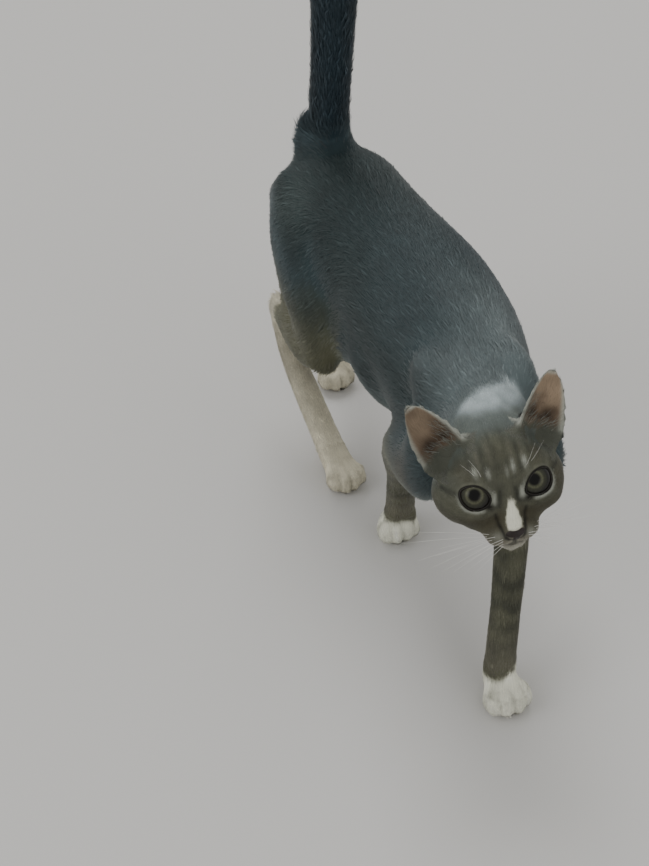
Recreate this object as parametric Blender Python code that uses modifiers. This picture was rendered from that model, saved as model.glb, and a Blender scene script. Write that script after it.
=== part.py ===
"""A young cat walking, head lowered and tail straight up, parted into its named body parts.

Millimetres in the tables below, metres in the scene. The cat faces -Y, its left side is +X, and the
floor is z = 0. Tables are measured from the floor point under the root of the tail; the whole cat is
moved at the end so that the origin is the middle of its box on the floor.
"""

import bpy
import bmesh
import numpy as np
from mathutils import Matrix, Vector

MM = 0.001
GAP = 0.3 * MM          # left between neighbouring parts
VOXEL = 1.6 * MM        # cell of the remesh that melts the body masses together
BODY_TRIANGLES = 3500
SOLE_SINK = 1.5         # how far pads reach below the floor before the soles are cut flat, mm

EYE_MIDDLE = Vector((-14, -312, 209.5))     # between the middles of the two eyeballs; the head is placed from here
HEAD_TURN = Matrix.Rotation(np.radians(-5.6), 3, "Z") @ Matrix.Rotation(np.radians(-5.0), 3, "Y")
EYE_SPACING = 37.0
EYE_RADIUS = 10.0

# x, y, z, half width, half height along the trunk, from under the tail to the breast
TRUNK = [
    (0, 25, 197, 20, 25), (0, 17, 193, 34, 38), (1, -4, 187, 45, 48), (5, -40, 182, 47, 53),
    (12, -78, 177, 49, 57), (17, -116, 175, 52, 60), (18, -153, 173, 52, 61), (15, -190, 173, 48, 60),
    (10, -225, 178, 39, 54), (6, -250, 183, 30, 42), (4, -268, 186, 19, 28),
]
NECK = [
    (7, -222, 188, 34, 42), (2, -248, 200, 31, 35), (-6, -270, 208, 29, 30), (-13, -290, 211, 28, 28),
]
TAIL = [
    (0, 12, 205, 22, 20), (0, 13, 226, 19, 18), (0, 11, 248, 16, 16), (0, 8, 275, 15.5, 15.5),
    (1, 7, 310, 16, 16), (2, 7, 350, 17, 17), (2, 9, 395, 16.5, 16.5), (1, 14, 440, 14.5, 14.5),
    (0, 22, 475, 11, 11), (-1, 28, 496, 6, 6),
]
# Limb chains: x, y, z, half width across, half thickness fore and aft
FORE_RIGHT = [
    (-22, -222, 205, 9, 20), (-31, -236, 180, 12, 24), (-34, -240, 160, 13, 22),
    (-32, -214, 142, 13, 21), (-27, -188, 128, 13, 17), (-19, -170, 100, 12.5, 13.5),
    (-11, -157, 66, 11.5, 11.5), (-8, -150, 34, 11.5, 11.5), (-8, -149, 14, 12, 11),
]
FORE_LEFT = [
    (36, -228, 205, 9, 20), (42, -244, 180, 12, 24), (42, -256, 160, 13, 21),
    (38, -246, 138, 13, 20), (32, -240, 116, 13, 17), (24, -257, 86, 12.5, 13.5),
    (13, -278, 58, 11.5, 11.5), (4, -294, 32, 11.5, 11.5), (0, -301, 14, 12, 11),
]
HIND_RIGHT_THIGH = [
    (-26, 6, 196, 18, 30), (-33, -16, 176, 20, 37), (-37, -42, 148, 17, 34), (-37, -64, 126, 15, 25),
    (-36, -72, 112, 13, 16),
]
HIND_RIGHT_HAM = [
    (-25, 24, 180, 16, 15), (-30, 8, 146, 15, 19), (-34, -12, 118, 12, 17), (-36, -22, 102, 10, 11),
]
HIND_RIGHT_SHANK = [
    (-36, -76, 115, 14, 15), (-38, -52, 107, 15, 20), (-38, -24, 97, 13, 17), (-38, 4, 90, 9, 10),
    (-38, 15, 86, 8, 8),
]
HIND_RIGHT_FOOT = [
    (-38, 14, 91, 7, 7), (-38, 7, 81, 9, 9), (-38, -14, 62, 10, 9), (-35, -40, 42, 11, 9),
    (-31, -66, 22, 11.5, 9), (-29, -82, 12, 12, 9),
]
HIND_LEFT_THIGH = [
    (24, 8, 194, 17, 30), (31, -12, 174, 20, 37), (35, -36, 148, 17, 34), (36, -52, 130, 15, 25),
    (35, -58, 118, 13, 16),
]
HIND_LEFT_HAM = [
    (26, 26, 180, 16, 15), (32, 14, 146, 15, 19), (33, 2, 118, 12, 17), (31, -4, 102, 10, 11),
]
HIND_LEFT_SHANK = [
    (35, -60, 120, 13, 15), (35, -36, 110, 13, 19), (32, -6, 96, 11, 15), (28, 24, 82, 9, 10),
    (27, 34, 76, 8, 8),
]
HIND_LEFT_FOOT = [
    (27, 36, 83, 7, 7), (26, 33, 72, 9, 9), (21, 29, 52, 9.5, 9), (13, 23, 32, 10, 9),
    (8, 17, 16, 11, 9), (6, 13, 10, 12, 9),
]
# Ear corners as side, forward and up from the middle of the eyes: inner root, outer root, tip
EAR_CORNERS = [(14, -22, 25), (43, -20, 9), (44, -41.5, 44)]
EAR_CUP = 11
EAR_WALL = 2.6
# Paws: x and y of the longest toe's tip, width, length, height
PAWS = {
    "fore_right": (-11, -167, 30, 32, 19),
    "fore_left": (-1, -332, 33, 36, 20),
    "hind_right": (-27, -109, 30, 40, 18),
    "hind_left": (4, -9, 29, 38, 18),
}
NOSE_PLACE = (0, 16.6, -21.8)
NOSE_RADII = (6.5, 5.0, 4.6)
# Cuts that part the body: name, centre, size and turn of each thin box, mm and degrees
CUTS = [
    ("head", (-10, -268, 204), (96, 0.3, 104), (-28, 0, 0)),
    ("neck", (8, -250, 200), (108, 0.3, 116), (-38, 0, 0)),
    ("chest", (14, -142, 178), (150, 0.3, 144), (0, 0, 0)),
    ("rump", (9, -103, 178), (150, 0.3, 132), (0, 0, 0)),
    ("forearm_right", (-22, -178, 113), (40, 46, 0.3), (0, 0, 0)),
    ("forearm_left", (29, -243, 112), (44, 52, 0.3), (0, 0, 0)),
    ("fore_paw_right", (-8, -150, 24), (34, 36, 0.3), (0, 0, 0)),
    ("fore_paw_left", (2, -297, 25), (38, 38, 0.3), (0, 0, 0)),
    ("shank_right", (-38, -38, 112.5), (44, 124, 0.3), (0, 0, 0)),
    ("shank_left", (33, -24, 113), (44, 124, 0.3), (0, 0, 0)),
    ("hock_right", (-38, 0, 83), (30, 50, 0.3), (11.3, 0, 0)),
    ("hock_left", (24.5, 31, 62), (32, 32, 0.3), (0, 0, 0)),
    ("hind_paw_right", (-31, -70, 20), (36, 0.3, 44), (37, 0, 0)),
    ("hind_paw_left", (8, 17, 20), (36, 34, 0.3), (0, 0, 0)),
] + [(f"tail_{k}", (0, 12, z), (56, 60, 0.3), (0, 0, 0)) for k, z in enumerate((238, 305, 372, 436))]
# Pockets that part a limb from the trunk: name, side, centre of the inner wall, lean, length and height
POCKETS = [
    ("shoulder_right", -1, (-14.7, -217, 145), -14.6, 98, 74),
    ("shoulder_left", 1, (17.7, -240, 136), 13.5, 82, 56),
    ("thigh_right", -1, (-21, -24, 165), -10.2, 148, 106),
    ("thigh_left", 1, (25, -19, 165), 10.2, 138, 106),
]
POCKET_REACH = 62
LEAST_PIECE = 40        # vertices; a chip smaller than this between two cuts is dropped
# Where the middle of each piece of the body lies, mm
LABELS = {
    "head": (-17, -290, 205), "neck": (-5, -262, 205), "chest": (8, -215, 180), "midriff": (15, -122, 175),
    "rump": (3, -40, 190), "shoulder_right": (-36, -220, 155), "forearm_right": (-15, -160, 75),
    "fore_paw_right": (-11, -153, 8), "shoulder_left": (44, -245, 155), "forearm_left": (18, -268, 70),
    "fore_paw_left": (-1, -314, 8), "thigh_right": (-40, -30, 155), "shank_right": (-38, -45, 100),
    "hind_foot_right": (-35, -25, 55), "hind_paw_right": (-28, -92, 8), "thigh_left": (44, -20, 155),
    "shank_left": (32, -15, 95), "hind_foot_left": (18, 27, 40), "hind_paw_left": (4, 5, 8),
    "tail_root": (0, 10, 270), "tail_middle": (1, 7, 340), "tail_upper": (2, 9, 405), "tail_tip": (0, 20, 470),
}
# Linear colour and roughness of each node, by the first word found in its name
LOOKS = {
    "eye": ((0.105, 0.110, 0.060), 0.15), "nose": ((0.035, 0.028, 0.027), 0.45),
    "forearm": ((0.085, 0.085, 0.075), 0.8), "ear": ((0.150, 0.115, 0.100), 0.8),
    "hind_paw": ((0.66, 0.65, 0.63), 0.8), "hind_foot": ((0.62, 0.61, 0.59), 0.8),
    "fore_paw": ((0.66, 0.65, 0.63), 0.8), "tail": ((0.022, 0.028, 0.030), 0.8),
    "": ((0.070, 0.082, 0.086), 0.8),
}


def clear_scene():
    for thing in list(bpy.data.objects):
        bpy.data.objects.remove(thing, do_unlink=True)
    for group in list(bpy.data.collections):
        bpy.data.collections.remove(group)


def new_collection(name):
    group = bpy.data.collections.new(name)
    bpy.context.scene.collection.children.link(group)
    return group


def eased(stations, steps):
    """Points on a smooth curve through the stations, all columns eased alike (Catmull-Rom)."""
    rows = np.array(stations, float)
    ends = np.vstack([2 * rows[0] - rows[1], rows, 2 * rows[-1] - rows[-2]])
    out = []
    for i in range(1, len(ends) - 2):
        a, b, c, d = ends[i - 1:i + 3]
        for t in np.arange(steps) / steps:
            out.append(0.5 * (2 * b + (c - a) * t + (2 * a - 5 * b + 4 * c - d) * t ** 2
                              + (3 * b - a - 3 * c + d) * t ** 3))
    out.append(rows[-1])
    return np.array(out)


def add_loft(bm, stations, steps=4, sides=20, cap_rings=4):
    """A closed body of elliptical rings along the stations, with domed ends."""
    rows = eased(stations, steps)
    middle, half = rows[:, :3], np.maximum(rows[:, 3:], 2.0)
    along = np.gradient(middle, axis=0)
    along /= np.linalg.norm(along, axis=1)[:, None]
    rings = []
    angles = np.arange(cap_rings) / cap_rings * np.pi / 2
    for angle in angles[::-1][:-1]:
        reach = half[0].min() * np.sin(angle)
        rings.append((middle[0] - along[0] * reach, along[0], half[0] * np.cos(angle)))
    rings += list(zip(middle, along, half))
    for angle in angles[1:]:
        reach = half[-1].min() * np.sin(angle)
        rings.append((middle[-1] + along[-1] * reach, along[-1], half[-1] * np.cos(angle)))
    turn = np.arange(sides) / sides * 2 * np.pi
    loops = []
    for centre, ahead, (wide, tall) in rings:
        across = np.array([1.0, 0, 0]) - ahead[0] * ahead
        across /= np.linalg.norm(across)
        rise = np.cross(ahead, across)
        points = centre + np.outer(np.cos(turn) * wide, across) + np.outer(np.sin(turn) * tall, rise)
        loops.append([bm.verts.new(point * MM) for point in points])
    for near, far in zip(loops, loops[1:]):
        for k in range(sides):
            n = (k + 1) % sides
            bm.faces.new((near[k], near[n], far[n], far[k]))
    bm.faces.new(loops[0][::-1])
    bm.faces.new(loops[-1])


def add_mass(bm, centre, radii, pitch=0.0, yaw=0.0):
    """An ellipsoid in millimetres, pitched about X and turned about Z, in degrees."""
    place = (Matrix.Translation(Vector(centre) * MM) @ Matrix.Rotation(np.radians(yaw), 4, "Z")
             @ Matrix.Rotation(np.radians(pitch), 4, "X") @ Matrix.Diagonal((*(r * MM for r in radii), 1)))
    bmesh.ops.create_uvsphere(bm, u_segments=24, v_segments=14, radius=1.0, matrix=place)


def head_point(side, forward, up):
    """A place on the head, measured from the middle of the eyes."""
    return EYE_MIDDLE + HEAD_TURN @ Vector((side, -forward, up))


def add_head(bm):
    """Skull, cheeks and muzzle, built square about the middle of the eyes and then turned into place."""
    before = len(bm.verts)
    add_mass(bm, (0, 27, 3), (30, 32, 26))                # braincase
    add_mass(bm, (0, 13, 5), (21, 17, 17))                # forehead
    add_loft(bm, [(0, 9, 3, 12, 11), (0, 1.5, -3, 9.5, 8.5), (0, -5.8, -11, 8.5, 8.5), (0, -11, -17, 7.5, 8)])
    for side in (-1, 1):
        add_mass(bm, (22 * side, 13.5, -9), (19.5, 21, 19))     # cheek
        add_mass(bm, (17 * side, 2.5, -11.5), (14, 11, 11))     # below the eye
        add_mass(bm, (18 * side, 12.5, 7), (12.5, 9, 7))        # brow
        add_mass(bm, (16 * side, 3, -21), (12, 13, 9))          # jowl
        add_mass(bm, (8.5 * side, -9.5, -23.8), (10, 10, 8.8))    # whisker pad
    add_mass(bm, (0, -10.5, -34), (11, 9.5, 7))             # chin
    add_loft(bm, [(0, -4, -26.5, 14, 8), (0, 10, -23, 22, 12), (0, 26, -17, 26, 18)])   # jaw and throat
    bm.verts.ensure_lookup_table()
    place = Matrix.Translation(EYE_MIDDLE * MM) @ HEAD_TURN.to_4x4()
    bmesh.ops.transform(bm, verts=bm.verts[before:], matrix=place)


def add_paw(bm, toe_x, toe_y, width, length, height):
    """Four toes fanned in front of a palm, all reaching just below the floor."""
    toe = width / 6.6
    for k, reach in zip((-1.5, -0.5, 0.5, 1.5), (0.17, 0.0, 0.0, 0.17)):
        x = toe_x + k * width / 4.3
        y = toe_y + toe * 1.7 + reach * length
        add_mass(bm, (x, y, height * 0.5 - SOLE_SINK), (toe * 1.15, toe * 1.7, height * 0.5), yaw=-6 * k)
    add_mass(bm, (toe_x, toe_y + length * 0.56, height * 0.52 - SOLE_SINK),
             (width * 0.43, length * 0.42, height * 0.52))


def body_mass():
    bm = bmesh.new()
    for chain in (TRUNK, NECK, TAIL, FORE_RIGHT, FORE_LEFT, HIND_RIGHT_THIGH, HIND_RIGHT_SHANK,
                  HIND_RIGHT_FOOT, HIND_RIGHT_HAM, HIND_LEFT_HAM, HIND_LEFT_THIGH, HIND_LEFT_SHANK, HIND_LEFT_FOOT):
        add_loft(bm, chain)
    add_head(bm)
    for paw in PAWS.values():
        add_paw(bm, *paw)
    add_mass(bm, (-15, -218, 204), (17, 34, 26), pitch=-12)      # shoulder blades
    add_mass(bm, (31, -222, 204), (17, 34, 26), pitch=-12)
    add_mass(bm, (0, 10, 208), (22, 26, 20))                     # croup at the tail
    add_mass(bm, (0, -122, 152), (37, 66, 42))                   # hanging belly
    add_mass(bm, (-20, -88, 147), (17, 38, 32))                  # loose skin before the knees
    add_mass(bm, (30, -84, 146), (15, 36, 30))
    add_mass(bm, (-9, 18, 224), (15, 15, 26))                   # ruffled fur at the root of the tail
    bmesh.ops.recalc_face_normals(bm, faces=bm.faces)
    return bm


def ear_sheet(side):
    """One ear as an open cupped sheet, from a root inside the head to a rounded tip."""
    inner, outer, tip = (head_point(x * side, f, u) for x, f, u in EAR_CORNERS)
    root = (inner + outer) / 2
    half, rise = (outer - inner) / 2, tip - root
    facing = half.cross(rise).normalized() * side
    if facing.y > 0:
        facing = -facing
    bm = bmesh.new()
    bmesh.ops.create_grid(bm, x_segments=7, y_segments=8, size=1.0)
    for vertex in bm.verts:
        a, t = vertex.co.x, 1.28 * np.sin((vertex.co.y + 1) * np.pi / 4) - 0.28
        tall = min(max(t, 0), 1)
        wide = max((1 - tall ** 2.6) ** 0.5 * (1 - 0.25 * tall), 0.13) + 0.9 * min(t, 0)
        cup = EAR_CUP * (1 - a * a) * (1 - 0.75 * tall)
        vertex.co = (root + rise * t + half * a * wide - facing * (cup - 4)) * MM
    return bm


def cut_box(centre, size, turn, frame=Matrix.Identity(4)):
    """A thin box, in millimetres and degrees, in a frame of its own."""
    place = (frame @ Matrix.Translation(Vector(centre) * MM)
             @ Matrix.Rotation(np.radians(turn[0]), 4, "X") @ Matrix.Diagonal((*(v * MM for v in size), 1)))
    bm = bmesh.new()
    bmesh.ops.create_cube(bm, size=1.0, matrix=place)
    return bm


def mesh_object(name, bm, group):
    mesh = bpy.data.meshes.new(name)
    bm.to_mesh(mesh)
    bm.free()
    thing = bpy.data.objects.new(name, mesh)
    group.objects.link(thing)
    return thing


def evaluated_bmesh(thing):
    """The object's mesh with its modifiers done, as a bmesh, and the object removed."""
    bpy.context.view_layer.update()
    mesh = bpy.data.meshes.new_from_object(thing.evaluated_get(bpy.context.evaluated_depsgraph_get()))
    bm = bmesh.new()
    bm.from_mesh(mesh)
    bpy.data.meshes.remove(mesh)
    bpy.data.objects.remove(thing, do_unlink=True)
    return bm


def detail_weight(point):
    """1 where the decimation keeps small shapes: the head and the paws."""
    head = (Vector(point) - EYE_MIDDLE * MM).length < 52 * MM
    return 1.0 if head or point.z < 24 * MM else 0.0


def melted(bm, group):
    """The masses melted into one body, smoothed, thinned to the triangle budget and cut flat at the floor."""
    thing = mesh_object("body_mass", bm, group)
    remesh = thing.modifiers.new("melt", "REMESH")
    remesh.mode = "VOXEL"
    remesh.voxel_size = VOXEL
    smooth = thing.modifiers.new("smooth", "SMOOTH")
    smooth.factor = 0.5
    smooth.iterations = 7
    bm = evaluated_bmesh(thing)
    thing = mesh_object("body_fine", bm, group)
    weights = thing.vertex_groups.new(name="coarse")
    for vertex in thing.data.vertices:
        weights.add([vertex.index], 1.0 - 0.75 * detail_weight(vertex.co), "REPLACE")
    thin = thing.modifiers.new("thin", "DECIMATE")
    thin.ratio = BODY_TRIANGLES / (2 * len(thing.data.polygons))
    thin.use_collapse_triangulate = True
    thin.vertex_group = weights.name
    thin.vertex_group_factor = 0.00003
    bm = evaluated_bmesh(thing)
    cut = bmesh.ops.bisect_plane(bm, geom=bm.verts[:] + bm.edges[:] + bm.faces[:], plane_co=(0, 0, 0),
                                 plane_no=(0, 0, 1), clear_inner=True, dist=1e-6)
    rim = [edge for edge in cut["geom_cut"] if isinstance(edge, bmesh.types.BMEdge)]
    bmesh.ops.holes_fill(bm, edges=rim, sides=0)
    bmesh.ops.triangulate(bm, faces=[face for face in bm.faces if len(face.verts) > 3])
    return bm


def add_modifier_cut(thing, other, solver="EXACT"):
    cut = thing.modifiers.new(other.name, "BOOLEAN")
    cut.operation = "DIFFERENCE"
    cut.solver = solver
    cut.object = other


def helper(name, bm, group):
    thing = mesh_object(name, bm, group)
    thing.hide_render = True
    thing.display_type = "WIRE"
    return thing


def ball(centre, radii, segments=24, rings=16):
    bm = bmesh.new()
    place = Matrix.Translation(Vector(centre) * MM) @ Matrix.Diagonal((*(r * MM for r in radii), 1))
    bmesh.ops.create_uvsphere(bm, u_segments=segments, v_segments=rings, radius=1.0, matrix=place)
    return bm


def islands(bm):
    """The separate bodies of a mesh, each a list of its vertices in mesh order."""
    bm.verts.index_update()
    seen, found = set(), []
    for seed in bm.verts:
        if seed in seen:
            continue
        seen.add(seed)
        island, edge = [seed], [seed]
        while edge:
            for link in edge.pop().link_edges:
                for vertex in link.verts:
                    if vertex not in seen:
                        seen.add(vertex)
                        island.append(vertex)
                        edge.append(vertex)
        found.append(sorted(island, key=lambda vertex: vertex.index))
    return found


def island_mesh(bm, island):
    """A new bmesh holding one island of another."""
    part = bmesh.new()
    copies = {vertex: part.verts.new(vertex.co) for vertex in island}
    for face in bm.faces:
        if face.verts[0] in copies:
            part.faces.new([copies[vertex] for vertex in face.verts])
    return part


def largest_island(bm):
    part = island_mesh(bm, max(islands(bm), key=len))
    bm.free()
    return part


def part_cutters(group):
    """Every cutter that parts the body, as helpers in the cutters' collection."""
    made = [helper(f"cut_{name}", cut_box(centre, size, turn), group) for name, centre, size, turn in CUTS]
    for name, side, centre, lean, length, height in POCKETS:
        frame = Matrix.Translation(Vector(centre) * MM) @ Matrix.Rotation(np.radians(lean), 4, "Y")
        reach = side * POCKET_REACH / 2
        walls = [((0, 0, 0), (0.3, length, height)),
                 ((reach, -length / 2, 0), (POCKET_REACH, 0.3, height)),
                 ((reach, length / 2, 0), (POCKET_REACH, 0.3, height)),
                 ((reach, 0, height / 2), (POCKET_REACH, length, 0.3))]
        for k, (middle, size) in enumerate(walls):
            made.append(helper(f"cut_{name}_{k}", cut_box(middle, size, (0, 0, 0), frame), group))
    return made


def paint(thing):
    """The node's own material, in the coat's colour there."""
    colour, roughness = next(look for word, look in LOOKS.items() if word in thing.name)
    material = bpy.data.materials.new(thing.name)
    material.use_nodes = True
    shader = material.node_tree.nodes["Principled BSDF"]
    shader.inputs["Base Color"].default_value = (*colour, 1.0)
    shader.inputs["Roughness"].default_value = roughness
    shader.inputs["Metallic"].default_value = 0.0
    thing.data.materials.append(material)


def main():
    clear_scene()
    cat, cutters = new_collection("cat"), new_collection("cutters")
    body = mesh_object("body", melted(body_mass(), cat), cat)
    nodes = {}
    seat = bmesh.new()
    seat.from_mesh(body.data)
    seat = helper("ear_seat", seat, cutters)
    grow = seat.modifiers.new("clearance", "DISPLACE")
    grow.strength = GAP
    grow.mid_level = 0.0
    for side, word in ((-1, "right"), (1, "left")):
        ear = mesh_object(f"ear_{word}", ear_sheet(side), cat)
        wall = ear.modifiers.new("wall", "SOLIDIFY")
        wall.thickness = EAR_WALL * MM
        wall.offset = 0.0
        add_modifier_cut(ear, seat)
        nodes[f"ear_{word}"] = largest_island(evaluated_bmesh(ear))
    for side, word in ((-1, "right"), (1, "left")):
        place = head_point(EYE_SPACING / 2 * side, 0, 0)
        add_modifier_cut(body, helper(f"socket_{word}", ball(place, [EYE_RADIUS + GAP / MM] * 3, 20, 12), cutters))
        nodes[f"eye_{word}"] = ball(place, [EYE_RADIUS] * 3, 16, 10)
    nose = head_point(*NOSE_PLACE)
    add_modifier_cut(body, helper("nose_seat", ball(nose, [r + GAP / MM for r in NOSE_RADII], 12, 8), cutters))
    nodes["nose"] = ball(nose, NOSE_RADII, 12, 8)
    for cutter in part_cutters(cutters):
        add_modifier_cut(body, cutter, "MANIFOLD")      # EXACT leaves open edges where two walls meet
    whole = evaluated_bmesh(body)
    for island in islands(whole):
        if len(island) < LEAST_PIECE:
            continue
        middle = sum((vertex.co for vertex in island), Vector()) / len(island) / MM
        nodes[min(LABELS, key=lambda name: (middle - Vector(LABELS[name])).length)] = island_mesh(whole, island)
    whole.free()
    corners = np.array([vertex.co for bm in nodes.values() for vertex in bm.verts])
    centre = (corners.min(axis=0) + corners.max(axis=0)) / 2
    for name, bm in nodes.items():
        bmesh.ops.translate(bm, verts=bm.verts, vec=(-centre[0], -centre[1], 0))
        for face in bm.faces:
            face.smooth = True
        paint(mesh_object(name, bm, cat))
    for thing in cutters.objects:
        thing.location = (-centre[0], -centre[1], 0)


main()
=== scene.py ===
import math
import bmesh
import bpy
import numpy as np
from mathutils import Matrix, Vector
from mathutils.kdtree import KDTree


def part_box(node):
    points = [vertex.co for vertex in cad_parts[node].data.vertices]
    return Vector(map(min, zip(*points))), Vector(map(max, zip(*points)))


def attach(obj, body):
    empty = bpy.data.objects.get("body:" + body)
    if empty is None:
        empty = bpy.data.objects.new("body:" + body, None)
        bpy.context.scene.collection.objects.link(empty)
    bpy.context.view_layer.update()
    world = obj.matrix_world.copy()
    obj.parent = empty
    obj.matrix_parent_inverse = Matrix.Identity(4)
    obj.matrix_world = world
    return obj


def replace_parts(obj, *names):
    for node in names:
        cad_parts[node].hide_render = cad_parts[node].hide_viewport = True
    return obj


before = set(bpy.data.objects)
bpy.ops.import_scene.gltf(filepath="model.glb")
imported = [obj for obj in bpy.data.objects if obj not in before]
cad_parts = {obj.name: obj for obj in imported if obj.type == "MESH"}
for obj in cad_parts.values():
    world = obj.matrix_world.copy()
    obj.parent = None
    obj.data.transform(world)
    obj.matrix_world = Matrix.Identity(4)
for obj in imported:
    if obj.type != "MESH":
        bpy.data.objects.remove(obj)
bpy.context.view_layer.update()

scene = bpy.context.scene
mm = 0.001
chance = np.random.default_rng(41)
sides = {"right": -1, "left": 1}
print("frame loaded:", len(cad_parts), "nodes")


# small helpers
def linear(hexText):
    channels = np.array([int(hexText[i:i + 2], 16) for i in (1, 3, 5)]) / 255
    return np.where(channels <= 0.04045, channels / 12.92, ((channels + 0.055) / 1.055) ** 2.4)


def rgba(hexText):
    return (*linear(hexText), 1.0)


def unit(vectors):
    return vectors / np.maximum(np.linalg.norm(vectors, axis=-1, keepdims=True), 1e-12)


def flat(ways, normals):
    return unit(ways - normals * np.sum(ways * normals, axis=1, keepdims=True))


def ease(low, high, value):
    t = np.clip((value - low) / (high - low), 0, 1)
    return t * t * (3 - 2 * t)


def hump(value, width):
    return np.exp(-(value / width) ** 2)


def softSpot(points, centre, radii):
    return np.exp(-np.sum(((points - np.array(centre)) / radii) ** 2, axis=1))


def farFrom(points, start, end):
    # distance from each point to the straight line between two places
    along = end - start
    t = np.clip((points - start) @ along / (along @ along), 0, 1)
    return np.linalg.norm(points - start - t[:, None] * along, axis=1)


def blendTo(base, other, share):
    return base + (np.asarray(other) - base) * np.asarray(share)[..., None]


noiseTable = np.random.default_rng(7).random((32, 32, 32))


def cloudNoise(points, size, shift):
    # smooth noise from 0 to 1, with lumps about this many millimetres across
    place = points / (size * mm) + shift
    cell = np.floor(place).astype(int)
    part = place - cell
    part = part * part * (3 - 2 * part)
    total = np.zeros(len(points))
    for step in np.ndindex(2, 2, 2):
        x, y, z = ((cell + step) % 32).T
        total += np.prod(np.abs(1 - np.array(step) - part), axis=1) * noiseTable[x, y, z]
    return total


def corners(node):
    return np.array(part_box(node))


def middle(node):
    low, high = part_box(node)
    return np.array((low + high) / 2)


def read(collection, key, wide=3, kind=float):
    values = np.empty((len(collection), wide), kind)
    collection.foreach_get(key, values.ravel())
    return values


def toMesh(name, work):
    mesh = bpy.data.meshes.new(name)
    work.to_mesh(mesh)
    work.free()
    mesh.shade_smooth()
    return mesh


def applied(holder):
    # the finished mesh of a working object, which is then removed
    scene.collection.objects.link(holder)
    mesh = bpy.data.meshes.new_from_object(holder.evaluated_get(bpy.context.evaluated_depsgraph_get()))
    bpy.data.objects.remove(holder)
    return mesh


def addNode(tree, kind, settings=None, links=None):
    node = tree.nodes.new("ShaderNode" + kind)
    for key, value in (settings or {}).items():
        if isinstance(key, int) or key in node.inputs:
            node.inputs[key].default_value = value
        else:
            setattr(node, key, value)
    for key, (source, output) in (links or {}).items():
        tree.links.new(source.outputs[output], node.inputs[key])
    return node


def mottled(tree, colour, noise, spread, tones):
    # a colour, linked or written in hex, made darker and lighter by these tones over this spread of a noise
    tone = addNode(tree, "MapRange", {"From Min": spread[0], "From Max": spread[1], "To Min": tones[0],
                                      "To Max": tones[1]}, {"Value": (noise, "Fac")})
    scaled = addNode(tree, "VectorMath", {"operation": "SCALE"}, {"Scale": (tone, "Result")})
    if isinstance(colour, str):
        scaled.inputs["Vector"].default_value = linear(colour)
    else:
        tree.links.new(colour[0].outputs[colour[1]], scaled.inputs["Vector"])
    return scaled


def makeMaterial(name, shaderSettings, pattern):
    # pattern adds its own nodes and gives what the shader's sockets are linked to
    material = bpy.data.materials.new(name)
    material.use_nodes = True
    tree = material.node_tree
    tree.nodes.clear()
    shader = addNode(tree, "BsdfPrincipled", shaderSettings, pattern(tree))
    addNode(tree, "OutputMaterial", None, {"Surface": (shader, "BSDF")})
    return material


def makeObject(name, mesh, material):
    piece = bpy.data.objects.new(name, mesh)
    scene.collection.objects.link(piece)
    mesh.materials.clear()
    mesh.materials.append(material)
    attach(piece, "root")
    return piece


# the head's own directions: side (to the cat's left), forward and up, in millimetres from between the eyes
headPose = {"turn": -5.6, "roll": -5.0}
eyeCentre = {side: middle("eye_" + side) for side in sides}
headMiddle = (eyeCentre["right"] + eyeCentre["left"]) / 2
headAxes = np.array(Matrix.Rotation(math.radians(headPose["turn"]), 3, "Z")
                    @ Matrix.Rotation(math.radians(headPose["roll"]), 3, "Y")) * (1, -1, 1)


def toHead(points):
    return (points - headMiddle) @ headAxes / mm


def fromHead(place):
    return headMiddle + np.array(place) @ headAxes.T * mm


def headWay(direction):
    return unit(direction @ headAxes.T)


# camera: high in front of the cat, a little to its right
cameraSettings = {"fromEyes": (-0.402, -0.753, 0.9105), "right": (0.9336, -0.3584, 0.0),
                  "up": (0.2561, 0.6671, 0.6997), "lens": 88.17, "clipStart": 0.05}
cameraPlace = headMiddle + np.array(cameraSettings["fromEyes"])
camera = bpy.data.objects.new("camera", bpy.data.cameras.new("camera"))
scene.collection.objects.link(camera)
rightWay = Vector(cameraSettings["right"]).normalized()
upWay = Vector(cameraSettings["up"]).normalized()
cameraTurn = Matrix((rightWay, upWay, rightWay.cross(upWay))).transposed().to_4x4()
camera.matrix_world = Matrix.Translation(Vector(cameraPlace)) @ cameraTurn
camera.data.lens = cameraSettings["lens"]
camera.data.clip_start = cameraSettings["clipStart"]
scene.camera = camera
print("camera placed")

# the coat on each part: depth from skin to tips, hair length and width (mm), rise (degrees), and how many
# layers of fine hairs lie over each other, with coarser locks among them
coatKeys = ("depth", "length", "width", "rise", "layers", "locks")
coatParts = {
    "head": (1.1, 2.8, 0.40, 9, 3.1, 0), "ear": (0.6, 2.6, 0.40, 8, 2.6, 0),
    "neck": (2.6, 8.0, 0.72, 7, 3.6, 0.30), "chest": (2.6, 8.5, 0.70, 5.5, 3.6, 0.22),
    "midriff": (2.5, 8.5, 0.70, 5.0, 3.6, 0.22), "rump": (2.5, 8.5, 0.70, 5.0, 3.6, 0.22),
    "shoulder": (2.0, 7.0, 0.66, 6, 3.3, 0.18), "forearm": (1.3, 5.0, 0.56, 8, 3.0, 0.12),
    "fore_paw": (0.9, 3.0, 0.46, 8, 3.0, 0), "thigh": (2.3, 8.0, 0.74, 5.5, 3.2, 0.20),
    "shank": (1.8, 6.5, 0.66, 6.5, 3.1, 0.18), "hind_foot": (1.2, 4.6, 0.54, 8, 3.0, 0.10),
    "hind_paw": (0.9, 3.0, 0.46, 8, 3.0, 0), "tail": (2.6, 8.5, 0.68, 11, 3.6, 0.45),
}
bodyChain = ["neck", "chest", "midriff", "rump"]
tailChain = ["tail_root", "tail_middle", "tail_upper", "tail_tip"]
trunkParts = bodyChain + ["thigh", "shoulder"]
legs = {"Foreleg": ["shoulder", "forearm", "fore_paw"],
        "Hindleg": ["thigh", "shank", "hind_foot", "hind_paw"]}
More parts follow.
